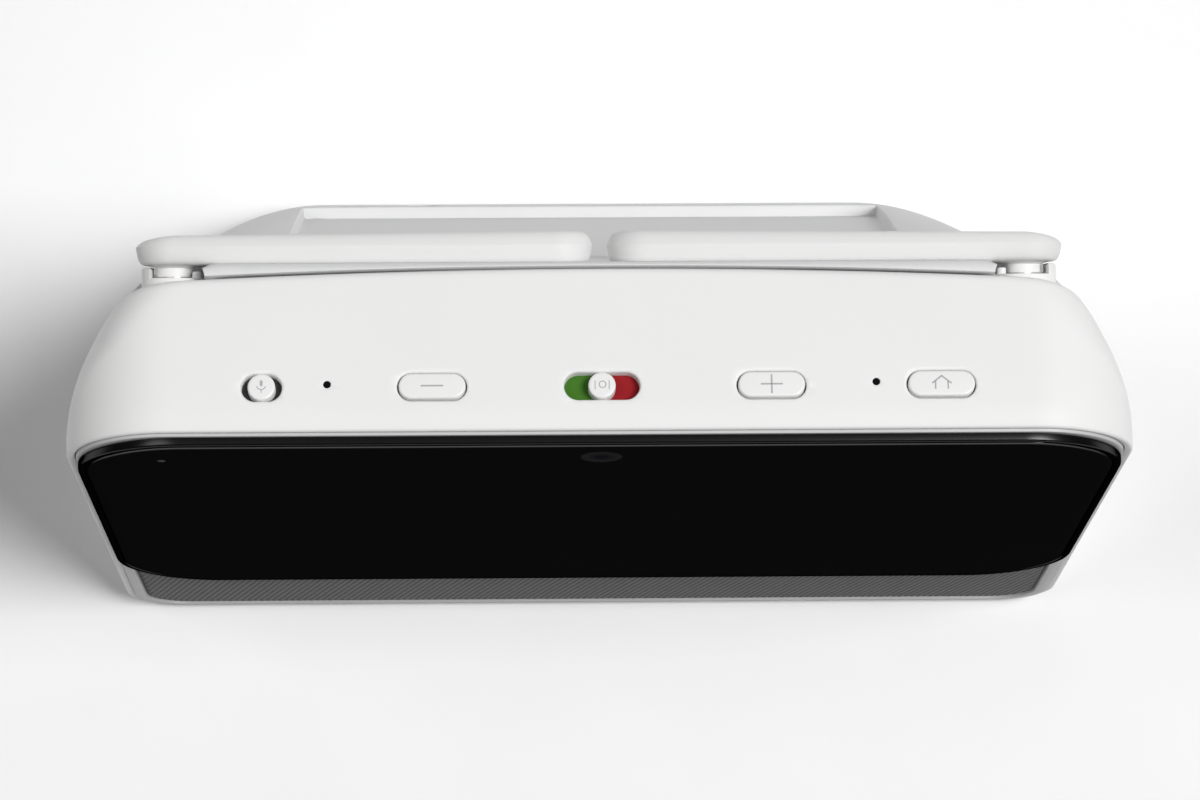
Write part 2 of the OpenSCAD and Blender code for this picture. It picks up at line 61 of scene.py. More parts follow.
NOTCH_X, NOTCH_Z = 70.0, 112.3
BAY_X, BAY_Z, BAY_D = 58.0, (24.0, 104.0), 2.4
LENS_V, LENS_R, SENSOR_X = 130.0, 3.65, -77.6
SCREWS, POST_W = ((-67.0, 92.0), (67.0, 92.0)), 27.0
BASE_X, BASE_Y = 60.0, -14.5
BUTTON_PLAY = 0.5                                     # round a push button, across
MIC_BEHIND = 0.5                                      # microphone holes behind the button row
SCREW_R, HEAD_R, HEAD_H, HEAD_HOLE_R = 1.25, 2.5, 1.3, 2.9
BASE_HEAD_HOLE_R, BASE_HEAD_Z = 2.7, 2.9              # sunk holes under the base, and their end
CLOTH_T, TWILL_H = 0.6, 0.12                          # cloth, and the height of its ridges
FLOAT_LEN, TWILL_PITCH, TWILL_LEAN, YARN_W = 1.15, 1.28, 2.7, 0.3446
LABEL_Z, FLOOR_T = -2.6, 0.3                          # underside and thickness of the slot floors
CAP_H, KNOB_H = 0.5, 0.4                              # how far buttons and knobs stand proud
ST, CT = math.sin(TILT), math.cos(TILT)
TOP_Y, TOP_Z = FACE_H * ST - HALF_D, FOOT + FACE_H * CT
TOP_FALL = math.tan(FALL - TILT)                       # fall of the top against the face's normal
REAR_Z = TOP_Z - (REAR_Y - TOP_Y) * math.tan(FALL)
CROWN, CROWN_W = 0.8, 5.0                             # the top dips towards its front edge
PLAN_LEAN = 9.3 / 125                                  # the plan outline leans forward as it rises
BACK_SLOPE = (HALF_D - 0.45 - REAR_Y) / (STEP_Z - HEEL_Z)


# ---- frames -------------------------------------------------------------------------
def on_face(u, v, w):
    """Across, up the front face, into the body."""
    u, v, w = np.broadcast_arrays(u, v, w)
    return np.stack([u, v * ST + w * CT - HALF_D, FOOT + v * CT - w * ST], -1)


def on_top(x, y, z):
    """Across, to the back along the top face, out of it."""
    x, y, z = np.broadcast_arrays(x, y, z)
    s, c = math.sin(FALL), math.cos(FALL)
    return np.stack([x, TOP_Y + y * c + z * s, TOP_Z - y * s + z * c], -1)


# ---- mesh code ------------------------------------------------------------------------
def add(name, verts, faces, mat, slot=None, body="housing", stands_for=(), sharp=35,
        point_data=None):
    """A mesh in millimetres made an object that rides on a body and stands for CAD nodes."""
    me = bpy.data.meshes.new(name)
    me.from_pydata((np.asarray(verts, float) * MM).tolist(), [], [list(map(int, f)) for f in faces])
    for key, values in (point_data or {}).items():
        me.attributes.new(key, "FLOAT", "POINT").data.foreach_set("value", np.asarray(values, np.float32))
    bm = bmesh.new()
    bm.from_mesh(me)
    bmesh.ops.remove_doubles(bm, verts=bm.verts, dist=1e-7)
    bmesh.ops.dissolve_degenerate(bm, edges=bm.edges, dist=1e-7)
    bmesh.ops.recalc_face_normals(bm, faces=bm.faces)
    bm.to_mesh(me)
    bm.free()
    me.validate()
    o = bpy.data.objects.new(name, me)
    bpy.context.scene.collection.objects.link(o)
    smooth(o, sharp)
    me.materials.append(mat)
    if body:
        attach(o, body)
    if stands_for:
        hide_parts(*stands_for)
    return o


def smooth(o, sharp):
    """Smooth shading, with creases above an angle in degrees."""
    o.data.polygons.foreach_set("use_smooth", [True] * len(o.data.polygons))
    o.data.set_sharp_from_angle(angle=math.radians(sharp))


class Parts:
    """Collects lofts into one mesh."""

    def __init__(self):
        self.v, self.f = [], []

    def loft(self, rings, closed=False):
        """Rings of equal length joined one to the next, capped at both ends or closed into a tube."""
        n, m, base = len(rings[0]), len(rings), len(self.v)
        for r in rings:
            self.v.extend(np.asarray(r, float).tolist())
        pairs = [(k, k + 1) for k in range(m - 1)] + ([(m - 1, 0)] if closed else [])
        for a, b in pairs:
            for i in range(n):
                j = (i + 1) % n
                self.f.append((base + a * n + i, base + a * n + j, base + b * n + j, base + b * n + i))
        if not closed:
            self.f.append([base + i for i in range(n)][::-1])
            self.f.append([base + (m - 1) * n + i for i in range(n)])
        return self

    def lathe(self, place, profile, n=64):
        """Turned piece: profile of (radius, height), placed by place(x, y, z)."""
        a = np.linspace(0, 2 * np.pi, n, endpoint=False)
        return self.loft([place(r * np.cos(a), r * np.sin(a), z) for r, z in profile])

    def make(self, name, *args, **kw):
        return add(name, self.v, self.f, *args, **kw)


def round_rect(half, y0, y1, r, low_r=None, n=20):
    """Rounded rectangle, anticlockwise from the lower left corner."""
    low_r = r if low_r is None else low_r
    t = np.linspace(0, np.pi / 2, n)
    out = []
    corners = ((-half + low_r, y0 + low_r, low_r, np.pi), (half - low_r, y0 + low_r, low_r, 1.5 * np.pi),
               (half - r, y1 - r, r, 0), (-half + r, y1 - r, r, 0.5 * np.pi))
    for cx, cy, rad, a0 in corners:
        out.append(np.stack([cx + rad * np.cos(a0 + t), cy + rad * np.sin(a0 + t)], -1))
    return np.concatenate(out)


def stadium(length, width, inset=0.0, n=28):
    """Outline with two straight sides and round ends."""
    half, r = (length - width) / 2, width / 2 - inset
    t = np.linspace(-np.pi / 2, np.pi / 2, n)
    right = np.stack([half + r * np.cos(t), r * np.sin(t)], -1)
    return np.concatenate([right, -right])


def pill_rings(x, length, width, rows):
    """Stadiums stacked on the top face: rows of (inset, height)."""
    out = []
    for inset, z in rows:
        q = stadium(length, width, inset)
        out.append(on_top(q[:, 0] + x, q[:, 1] + ROW_Y, z))
    return out


def display_ring(grow, w):
    """Outline of the display module, grown, at a depth."""
    p = round_rect(DISP_HALF + grow, DISP_LOW - grow, DISP_TOP + grow, DISP_R + grow)
    return on_face(p[:, 0], p[:, 1], w)


def rmin(a, b, r):
    """The smaller of two depths, with their edge rounded."""
    x, y = np.maximum(r - a, 0), np.maximum(r - b, 0)
    return np.where((x > 0) & (y > 0), r - np.hypot(x, y), np.minimum(a, b))


def rmax(a, b, r):
    """The larger of two depths, with their corner rounded."""
    return -rmin(-a, -b, r)


def cut(o, cutter):
    """Takes the cutter's volume away from o, for good."""
    m = o.modifiers.new("cut", "BOOLEAN")
    m.operation, m.solver, m.object = "DIFFERENCE", "EXACT", cutter
    bpy.context.view_layer.update()
    me = bpy.data.meshes.new_from_object(o.evaluated_get(bpy.context.evaluated_depsgraph_get()))
    o.modifiers.clear()
    old, o.data = o.data, me
    bpy.data.meshes.remove(old)
    bpy.data.objects.remove(cutter)


def cutter(parts):
    """An object for cut(), which takes it away again."""
    return parts.make("cutter", steel_grey, body=None)


# ---- materials ----------------------------------------------------------------------------
def nodes_of(name):
    """A new material, its node tree and its shader."""
    m = bpy.data.materials.new(name)
    m.use_nodes = True
    nt = m.node_tree
    bsdf = nt.nodes["Principled BSDF"]
    return m, nt, bsdf


def coords(nt, lean=0.0):
    """Object coordinates, turned upright from the leaning face where it matters."""
    tc, mp = nt.nodes.new("ShaderNodeTexCoord"), nt.nodes.new("ShaderNodeMapping")
    mp.inputs["Rotation"].default_value = (lean, 0, 0)
    nt.links.new(tc.outputs["Object"], mp.inputs["Vector"])
    return mp.outputs["Vector"]


def noise(nt, vec, scale, detail=2.0, rough=0.5):
    n = nt.nodes.new("ShaderNodeTexNoise")
    n.inputs["Scale"].default_value = scale
    n.inputs["Detail"].default_value = detail
    n.inputs["Roughness"].default_value = rough
    nt.links.new(vec, n.inputs["Vector"])
    return n.outputs["Fac"]


def spread(nt, fac, lo, hi, a=0.0, b=1.0):
    """Maps a value from a..b to lo..hi."""
    n = nt.nodes.new("ShaderNodeMapRange")
    n.inputs["From Min"].default_value, n.inputs["From Max"].default_value = a, b
    n.inputs["To Min"].default_value, n.inputs["To Max"].default_value = lo, hi
    nt.links.new(fac, n.inputs["Value"])
    return n.outputs["Result"]


def mix(nt, fac, a, b):
    """Mix of two colours; each argument is a socket or a constant."""
    n = nt.nodes.new("ShaderNodeMix")
    n.data_type = "RGBA"
    for sock, val in (("Factor", fac), ("A", a), ("B", b)):
        colour = sock != "Factor"
        i = next(s for s in n.inputs if s.name == sock and (s.type == "RGBA") == colour and s.enabled)
        if hasattr(val, "is_linked"):
            nt.links.new(val, i)
        else:
            i.default_value = (*val, 1) if colour else val
    return next(s for s in n.outputs if s.type == "RGBA")


def bump(nt, height, distance, strength=1.0, under=None):
    n = nt.nodes.new("ShaderNodeBump")
    n.inputs["Distance"].default_value = distance * MM
    n.inputs["Strength"].default_value = strength
    nt.links.new(height, n.inputs["Height"])
    if under:
        nt.links.new(under, n.inputs["Normal"])
    return n.outputs["Normal"]


def moulded(name, colour, rough, grain=0.35, depth=0.02, spec=0.5, metal=0.0, wear=0.06):
    """Moulded or finished surface: fine grain, slight blotches, edges rubbed a little lighter.

    grain is the size of the texture and depth its height, in millimetres.
    """
    m, nt, b = nodes_of(name)
    vec = coords(nt)
    fine = noise(nt, vec, 1 / (grain * MM), 3, 0.6)
    broad = noise(nt, vec, 28, 3)
    c = Vector(colour)
    col = mix(nt, broad, tuple(c * 0.975), tuple(c * 1.02))
    geo = nt.nodes.new("ShaderNodeNewGeometry")
    edge = spread(nt, geo.outputs["Pointiness"], 0, wear, 0.52, 0.62)
    col = mix(nt, edge, col, (0.95, 0.95, 0.94))
    nt.links.new(col, b.inputs["Base Color"])
    nt.links.new(spread(nt, fine, rough - 0.05, rough + 0.06), b.inputs["Roughness"])
    nt.links.new(bump(nt, fine, depth, 0.5), b.inputs["Normal"])
    b.inputs["Specular IOR Level"].default_value = spec
    b.inputs["Metallic"].default_value = metal
    return m


shell_white = moulded("shell_white_plastic", (0.82, 0.82, 0.815), 0.5, grain=0.3, depth=0.012,
                      spec=0.3)
button_white = moulded("button_white_plastic", (0.84, 0.84, 0.835), 0.34, grain=0.25, depth=0.006,
                       spec=0.45)
cover_grey = moulded("cover_grey_plastic", (0.72, 0.72, 0.725), 0.52, grain=0.45, depth=0.03, spec=0.4)
frame_grey = moulded("frame_grey_plastic", (0.50, 0.50, 0.505), 0.45, grain=0.3, depth=0.01)
dark_plastic = moulded("black_plastic", (0.018, 0.018, 0.019), 0.42, grain=0.25, depth=0.01, wear=0.02)
paddle_white = moulded("paddle_white_plastic", (0.76, 0.76, 0.755), 0.5, grain=0.3, depth=0.01,
                       spec=0.3)
glyph_grey = moulded("glyph_grey", (0.42, 0.42, 0.425), 0.5, grain=0.2, depth=0.004, wear=0)
rim_black = moulded("rim_black_plastic", (0.0025, 0.0025, 0.0027), 0.34, grain=0.2, depth=0.004,
                    spec=0, wear=0)
steel_grey = moulded("brushed_steel", (0.55, 0.55, 0.56), 0.32, grain=0.12, depth=0.01, metal=1.0, wear=0.1)
brass = moulded("brass", (0.72, 0.52, 0.24), 0.3, grain=0.15, depth=0.008, metal=1.0, wear=0.1)
rubber = moulded("rubber_grey", (0.07, 0.07, 0.072), 0.75, grain=0.5, depth=0.05, spec=0.3, wear=0.02)
green_label = moulded("green_label", (0.045, 0.15, 0.012), 0.55, grain=0.2, depth=0.01, spec=0.15, wear=0.0)
red_label = moulded("red_label", (0.27, 0.008, 0.012), 0.5, grain=0.2, depth=0.01, spec=0.15, wear=0.0)
ribbon_tan = moulded("polyimide", (0.42, 0.19, 0.04), 0.35, grain=0.6, depth=0.01, wear=0.0)


def board_green():
    """Solder mask over a pattern of tracks."""
    m, nt, b = nodes_of("circuit_board")
    vec = coords(nt, TILT)
    tracks = nt.nodes.new("ShaderNodeTexBrick")
    tracks.inputs["Scale"].default_value = 260
    tracks.inputs["Color1"].default_value = (0.01, 0.09, 0.03, 1)
    tracks.inputs["Color2"].default_value = (0.012, 0.12, 0.04, 1)
    tracks.inputs["Mortar"].default_value = (0.02, 0.17, 0.06, 1)
    nt.links.new(vec, tracks.inputs["Vector"])
    nt.links.new(tracks.outputs["Color"], b.inputs["Base Color"])
    nt.links.new(spread(nt, noise(nt, vec, 900), 0.25, 0.4), b.inputs["Roughness"])
    nt.links.new(bump(nt, tracks.outputs["Fac"], 0.03, 0.5), b.inputs["Normal"])
    return m


def front_gloss(nt, b, weight, rough):
    """A coat with an anti-glare finish: its sheen fades out at a glancing view."""
    facing = nt.nodes.new("ShaderNodeLayerWeight")
    nt.links.new(spread(nt, facing.outputs["Facing"], weight, 0, 0.5, 0.68), b.inputs["Coat Weight"])
    b.inputs["Coat Roughness"].default_value = rough
    b.inputs["Specular IOR Level"].default_value = 0.0


def spot(nt, centre, radius, soft, vec):
    """1 inside a ball round centre, 0 outside."""
    d = nt.nodes.new("ShaderNodeVectorMath")
    d.operation = "DISTANCE"
    nt.links.new(vec, d.inputs[0])
    d.inputs[1].default_value = tuple(np.asarray(centre) * MM)
    return spread(nt, d.outputs["Value"], 1, 0, (radius - soft) * MM, (radius + soft) * MM)


def screen_glass():
    """Black glass with a clear camera window, a lens behind it and a small sensor dot."""
    m, nt, b = nodes_of("screen_glass")
    vec = coords(nt)
    lens = on_face(0.0, LENS_V, -PROUD)
    dot = on_face(SENSOR_X, LENS_V - 1, -PROUD)
    col = mix(nt, noise(nt, vec, 40, 2), (0.0062, 0.0062, 0.0066), (0.0074, 0.0074, 0.0079))
    col = mix(nt, spot(nt, lens, LENS_R, 0.08, vec), col, (0.026, 0.026, 0.027))
    col = mix(nt, spot(nt, lens, 2.3, 0.06, vec), col, (0.020, 0.020, 0.022))
    col = mix(nt, spot(nt, lens, 1.3, 0.12, vec), col, (0.011, 0.012, 0.018))
    col = mix(nt, spot(nt, dot, 0.66, 0.1, vec), col, (0.11, 0.108, 0.11))
    nt.links.new(col, b.inputs["Base Color"])
    smear = noise(nt, vec, 55, 4, 0.6)
    nt.links.new(spread(nt, smear, 0.05, 0.12, 0.35, 0.7), b.inputs["Roughness"])
    front_gloss(nt, b, 1.0, 0.03)
    return m


def twill():
    """Grey yarn with painted shade in the hollows between the ridges and painted light on their crests, with a
    little fuzz.
    """
    m, nt, b = nodes_of("grille_twill")
    vec = coords(nt, TILT)
    yarn = nt.nodes.new("ShaderNodeTexWave")
    yarn.wave_type, yarn.bands_direction = "BANDS", "Z"
    yarn.inputs["Scale"].default_value = 2 * math.pi / (20 * YARN_W * MM)
    yarn.inputs["Distortion"].default_value = 1.5
    nt.links.new(vec, yarn.inputs["Vector"])
    fuzz = noise(nt, vec, 3800, 3, 0.7)
    # Painted shade and light: the height attribute read here makes the yarn's colour dark in the hollows
    # between ridges and light on their crests.
    raised = nt.nodes.new("ShaderNodeAttribute")
    raised.attribute_name = "raised"
    lit = spread(nt, raised.outputs["Fac"], 0, 1, 0.1, 0.85)
    col = mix(nt, lit, (0.012, 0.012, 0.0125), (0.155, 0.155, 0.158))
    col = mix(nt, spread(nt, fuzz, 0, 0.5, 0.45, 0.8), col, (0.26, 0.26, 0.265))
    nt.links.new(col, b.inputs["Base Color"])
    nt.links.new(spread(nt, fuzz, 0.75, 0.98), b.inputs["Roughness"])
    b.inputs["Sheen Weight"].default_value = 0.15
    b.inputs["Sheen Roughness"].default_value = 0.5
    b.inputs["Specular IOR Level"].default_value = 0.2
    n1 = bump(nt, yarn.outputs["Fac"], 0.05, 0.6)
    nt.links.new(bump(nt, fuzz, 0.05, 0.7, n1), b.inputs["Normal"])
    return m


front_gloss(rim_black.node_tree, rim_black.node_tree.nodes["Principled BSDF"], 0.6, 0.25)

# The record's material slots, for the CAD nodes that keep their meshes and for the pieces below.
BY_SLOT = {
    "shell_white": shell_white, "frame_grey": frame_grey, "cover_grey": cover_grey,
    "dark_plastic": dark_plastic, "screen_glass": screen_glass(), "panel": dark_plastic, "cloth": twill(),
    "steel": steel_grey, "spreader": steel_grey, "board": board_green(), "ribbon": ribbon_tan,
    "brass": brass, "green": green_label, "red": red_label, "rubber": rubber,
}
for entry in frame["record"]["materials"]:
    for node in entry.get("nodes", []):
        o = frame["nodes"][node]
        o.data.materials.clear()
        o.data.materials.append(BY_SLOT[entry["slot"]])

# ---- the body's surface ----------------------------------------------------------------------
U_FAN = 60.0                                          # the rings' rays fan out beyond this
BODY_SOFT, STEP_SOFT, HEEL_SOFT = 5.0, 1.6, 6.0       # roundings of the body's outer edges
BOSS_BLEND, NOTCH_SOFT = 3.0, 0.5


def body_depth(u, v, w, rear):
    """How deep a point lies inside the body, from the face's coordinates."""
    au = np.abs(u)
    y, z = v * ST + w * CT - HALF_D, FOOT + v * CT - w * ST
    yp = y + (z - FOOT) * PLAN_LEAN
    qx, qy = au - (HALF_W - BACK_R), yp - (HALF_D - BACK_R)
    side = BACK_R - np.hypot(np.maximum(qx, 0), np.maximum(qy, 0)) - np.minimum(np.maximum(qx, qy), 0)
    top = FACE_H - w * TOP_FALL - v - CROWN * np.clip(1 - w / CROWN_W, 0, 1) ** 2
    bend = np.clip(yp - (HALF_D - BACK_R), 0, BACK_R - 1)
    drawn = BACK_R - np.sqrt(BACK_R ** 2 - bend ** 2)       # how far the plan has curved in here
    f = rmin(rmin(HALF_W - au, top, FACE_R), side, np.clip(drawn, 0.01, BODY_SOFT))
    if rear:
        upper = REAR_Y + 0.08 - y
        slope = (REAR_Y + 0.15 + (STEP_Z - z) * BACK_SLOPE - y) * math.cos(math.atan(BACK_SLOPE))
        heel = (HALF_D - FOOT - 4 - (y - z)) / math.sqrt(2)
        corner = np.clip((au - HALF_W + BACK_R) / 20, 0.002, 1)      # 0 along the flat of the back
        soft = np.where(z > STEP_Z, STEP_SOFT, HEEL_SOFT * corner)
        f = rmin(f, np.minimum(rmax(upper, slope, BODY_SOFT), heel), soft)
        notch = np.maximum(NOTCH_X - au, (NOTCH_Z - z) / CT)
        f = rmin(f, notch, NOTCH_SOFT)
    else:
        boss = BOSS_R - np.hypot(au - HINGE_X, z - HINGE_Z)
        f = np.where(y > 6, rmax(f, boss, BOSS_BLEND), f)
    return rmin(f, z - FOOT, np.clip(FOOT_R - 0.27 * w, 3.5, FOOT_R))


def opening_depth(u, v, _w, _rear):
    """The same for the front opening, whose outline doesn't change with depth."""
    f = rmin(HALF_W - np.abs(u), FACE_H - v, FACE_R)
    return rmin(f, v, FOOT_R)


def body_ring(w0, inset, columns, bow, rear=False, depth=body_depth, n_top=22, n_side=56, n_low=20):
    """One closed ring of the surface at depth w0, bowed to the front at its sides."""
    v_lo = w0 * math.tan(TILT)
    v_hi = FACE_H - w0 * TOP_FALL
    if rear:
        v_hi = min(v_hi, rear_v(w0))
    vc = (v_lo + v_hi) / 2
    ease = (1 - np.cos(np.linspace(0, np.pi, n_side))) / 2
    ref = np.concatenate([
        np.stack([np.linspace(U_FAN, HALF_W, n_top, endpoint=False)[1:], np.full(n_top - 1, v_hi)], -1),
        np.stack([np.full(n_side, HALF_W), v_hi + (v_lo - v_hi) * ease], -1),
        np.stack([np.linspace(HALF_W, U_FAN, n_low, endpoint=False)[1:], np.full(n_low - 1, v_lo)], -1)])
    c = np.asarray(columns)
    start = np.concatenate([np.stack([c, np.full(len(c), vc)], -1), np.full((len(ref), 2), (U_FAN, vc)),
                            np.stack([c[::-1], np.full(len(c), vc)], -1),
                            np.full((len(ref), 2), (-U_FAN, vc))])
    mirror = ref[::-1] * (-1, 1)
    aim = np.concatenate([np.stack([c, np.full(len(c), v_hi)], -1), ref,
                          np.stack([c[::-1], np.full(len(c), v_lo)], -1), mirror])
    step = (aim - start) * 1.35
    k = bow / (2 * SEAM_R)

    def inner(t):
        p = start + step * t[:, None]
        return depth(p[:, 0], p[:, 1], w0 - k * p[:, 0] ** 2, rear) > inset

    lo = np.zeros(len(start))
    marks = 90                                           # marched outward first, then halved
    for t in np.linspace(0, 1, marks)[1:]:
        lo = np.where(inner(np.full(len(start), t)), t, lo)
    hi = lo + 1 / (marks - 1)
    for _ in range(26):
        mid = (lo + hi) / 2
        ok = inner(mid)
        lo, hi = np.where(ok, mid, lo), np.where(ok, hi, mid)
    p = start + step * lo[:, None]
    return on_face(p[:, 0], p[:, 1], w0 - k * p[:, 0] ** 2)


def rear_w(z):
    """Depth at which the back face stands at height z."""
    y = np.minimum(REAR_Y + 0.15 + (STEP_Z - z) * BACK_SLOPE, HALF_D - (z - FOOT) * PLAN_LEAN)
    return (y + HALF_D) * CT - (z - FOOT) * ST


def rear_v(w):
    """Height up the face at which the back face meets depth w."""
    z = np.linspace(REAR_Z, FOOT + 0.5, 1200)
    ws = np.where(z > STEP_Z, (REAR_Y + 0.08 + HALF_D) * CT - (z - FOOT) * ST, rear_w(z))
    zz = np.interp(w, ws, z)
    return (zz - FOOT + w * ST) / CT


# ---- main shell --------------------------------------------------------------------------------
def shell():
    """White shell from the front lip to the seam, with the controls' openings cut in its top."""
    cols = np.linspace(-U_FAN, U_FAN, 49)
    r = 0.5                                              # rounding of the lip
    p = Parts()
    rings = [body_ring(r * (1 - math.cos(a)), r * (1 - math.sin(a)), cols, 0)
             for a in np.linspace(0.02, np.pi / 2, 7)]
    front = [body_ring(LIP_D, WALL, cols, 0), body_ring(LIP_D, LIP, cols, 0, depth=opening_depth)]
    front += [body_ring(w, LIP - i, cols, 0, depth=opening_depth)
              for w, i in ((0.14, 0), (0.05, 0.04), (0.01, 0.13))]
    body = []
    soft = 1.5                                           # rounding at the seam
    flat = 5                                             # the rings are flat up to this depth
    for w in np.concatenate([np.linspace(1.6, 24, 26), np.linspace(24.6, SEAM_W - soft, 12)]):
        body.append(body_ring(w, 0, cols, min(1, max(0, (w - flat) / (SEAM_W - flat - soft)))))
    edge = [body_ring(SEAM_W - soft * (1 - math.sin(a)), soft * 0.8 * (1 - math.cos(a)), cols, 1)
            for a in np.linspace(0.2, np.pi / 2 - 0.02, 7)]
    back = [body_ring(SEAM_W, WALL, cols, 1)]
    inside = [body_ring(w, WALL, cols, (w - flat) / (SEAM_W - flat)) for w in (25, 20, 15, 10)]
    p.loft(front + rings + body + edge + back + inside, closed=True)
    o = p.make("shell", shell_white, "shell_white", stands_for=("main_shell",))
    c = Parts()
    holes = [(x, PILL_L + BUTTON_PLAY, PILL_W + BUTTON_PLAY) for x in (-VOLUME_X, VOLUME_X, OUTER_X)]
    holes += [(-OUTER_X, MIC_SLOT, SLOT_W), (0, CAM_SLOT, SLOT_W)]
    for x, length, width in holes:
        rows = [(0, -4), (0, -0.45), (-0.06, -0.25), (-0.2, -0.08), (-0.42, 0.0), (-1.2, 0.3)]
        c.loft(pill_rings(x, length, width, rows))
    for x in (-MIC_X, MIC_X):
        c.lathe(lambda a, b, z, x=x: on_top(a + x, b + ROW_Y + MIC_BEHIND, z),
                [(0.66, -4), (0.66, -0.2), (0.72, -0.07), (0.9, 0.0), (1.2, 0.2)], 32)
    for s in (-1, 1):
        c.lathe(lambda a, b, z, s=s: np.stack(np.broadcast_arrays(a + s * BASE_X, b + BASE_Y, z), -1),
                [(BASE_HEAD_HOLE_R + 0.5, 0), (BASE_HEAD_HOLE_R, FOOT + 0.25),
                 (BASE_HEAD_HOLE_R, BASE_HEAD_Z), (SCREW_R + 0.2, BASE_HEAD_Z), (SCREW_R + 0.2, FOOT + 4)], 32)
    cut(o, cutter(c))
    smooth(o, 35)
    return o


def hinge_blocks():
    """Socket, ear and stop pin behind each upper corner of the shell."""
    for s, side in ((-1, "left"), (1, "right")):
        def at(x, y, z, s=s):
            return np.stack(np.broadcast_arrays(s * (HINGE_X + x), z, HINGE_Z + y), -1)
        p = Parts()
        p.lathe(at, [(BOSS_R, 12), (BOSS_R, BOSS_Y - 0.35), (BOSS_R - 0.1, BOSS_Y - 0.06),
                     (BOSS_R - 0.35, BOSS_Y + 0.04), (3.75, BOSS_Y + 0.04), (3.6, BOSS_Y - 0.15),
                     (3.55, BOSS_Y - 0.9), (4.3, BOSS_Y - 0.9), (4.3, 12.1)])
        t = np.linspace(-0.80, 0.80, 24)
        arc = np.stack([np.cos(t), np.sin(t)], -1)
        tip = PADDLE_Y - EAR_GAP
        rings = []
        for i, y in ((0, BOSS_Y - 0.6), (0, tip - 0.35), (0.1, tip - 0.12), (0.35, tip)):
            flat = np.array([[PIVOT_R + 0.9 + i, 3.8 - i], [PIVOT_R + 0.9 + i, -3.8 + i]])
            q = np.concatenate([arc * (BOSS_R - 0.01 - i), flat])
            rings.append(at(q[:, 0], q[:, 1], y))
        p.loft(rings)
        stop = [(0.8, 21), (0.8, 23.4), (0.72, 23.55), (0.5, 23.62)]
        p.lathe(lambda x, y, z: at(x - 4.2, y + 2.6, z), stop, 24)
        p.make("hinge_socket_" + side, shell_white, "shell_white")
        hinge_wall(s, side)


def hinge_wall(s, side):
    """Wall that closes the shell beside a hinge socket."""
    w = SEAM_W - HINGE_X ** 2 / (2 * SEAM_R) - 1.2
    v0, v1 = (NOTCH_Z - 0.6 - FOOT + w * ST) / CT, 141.0
    outline = []
    for v in np.linspace(v0, v1, 30):
        us = np.linspace(NOTCH_X, HALF_W, 200)
        ok = body_depth(us, np.full(200, v), np.full(200, w), False) > 0.9
        if ok.any():
            outline.append((us[ok].max(), v))
    outline = np.array(outline)
    inner = np.stack([np.full(len(outline), NOTCH_X - 1.0), outline[:, 1]], -1)
    loop = np.concatenate([outline, inner[::-1]])
    q = Parts()
    q.loft([on_face(s * loop[:, 0], loop[:, 1], d) for d in (w - 1.2, w)])
    q.make("hinge_wall_" + side, shell_white, "shell_white")


# ---- rear cover --------------------------------------------------------------------------------
def cover():
    """Grey rear cover with its shallow bay, screw holes and the power inlet's hole."""
    lines = np.array([0.35, 0.12, 0, -0.1, -0.16, -0.3, -0.6])
    right = BAY_X + lines[::-1]
    cols = np.concatenate([[-U_FAN], -right[::-1], np.linspace(-56, 56, 41), right, [U_FAN]])
    start = SEAM_W + SEAM_GAP
    plan = [(start, WALL, 1), (start, 0.3, 1), (start + 0.05, 0.12, 1), (start + 0.2, 0.02, 1)]
    for w in np.linspace(start + 0.4, 35.4, 22):
        plan.append((w, 0, max(0, 1 - (w - start) / 5.5)))
    top = BAY_Z[1] + lines
    low = BAY_Z[0] - lines[::-1]
    foot = [22.5, 21, 19, 17, 15, 13, 11, 9.5, 8.2, 7.2, 6.4, 5.9]
    zs = np.concatenate([[110.5, 108, 106], top, np.linspace(101, 27, 24), low, foot])
    plan += [(float(rear_w(z)), 0, 0) for z in zs if rear_w(z) > 35.5]
    rings = []
    n_back = math.atan(BACK_SLOPE)
    normal = np.array([0, math.cos(n_back), math.sin(n_back)])

    def depth_at(x, z):
        """Depth of the bay at a point of the back face, eased over its rounded edges."""
        d = np.minimum(BAY_X - np.abs(x), np.minimum(BAY_Z[1] - z, z - BAY_Z[0]))
        return np.interp(d, [-0.35, -0.12, 0, 0.1, 0.16, 0.3, 0.6],
                         [0, 0.05, 0.2, 0.6, BAY_D - 0.5, BAY_D - 0.1, BAY_D])

    def sunk(ring, n):
        """The ring with the bay pressed into its first n points, which lie on the back face."""
        ring = ring.copy()
        head = ring[:n]
        head -= depth_at(head[:, 0], head[:, 2])[:, None] * normal
        return ring

    for w, inset, bow in plan:
        rings.append(sunk(body_ring(w, inset, cols, bow, rear=True), len(cols)))
    inside = []
    for z in (12, 20, 23, 26, 40, 60, 80, 101, 105, 108):
        inside.append(sunk(body_ring(float(rear_w(z)) - 2.0, WALL, cols, 0, rear=True), len(cols)))
    inside.append(body_ring(33, WALL, cols, 0.6, rear=True))
    p = Parts()
    p.loft(inside + rings)
    o = p.make("back_cover", cover_grey, "cover_grey", stands_for=("rear_cover",))
    c = Parts()
    for u, v in SCREWS:
        c.lathe(lambda a, b, w, u=u, v=v: on_face(u + a, v + b, w),
                [(HEAD_HOLE_R, POST_W + 3), (HEAD_HOLE_R, 70)], 40)
    c.lathe(lambda a, b, y: np.stack(np.broadcast_arrays(a + INLET_X, y, b + INLET_Z), -1),
            [(INLET_R, 30), (INLET_R, 50)], 48)
    cut(o, cutter(c))
    smooth(o, 32)
    q = Parts()
    for u, v in SCREWS:
        q.lathe(lambda a, b, w, u=u, v=v: on_face(u + a, v + b, w),
                [(4.4, POST_W), (4.4, 43), (HEAD_HOLE_R, 43), (HEAD_HOLE_R, POST_W + 3),
                 (1.6, POST_W + 3), (1.6, POST_W)], 40)
    q.make("cover_posts", cover_grey, "cover_grey")


shell()
hinge_blocks()
cover()


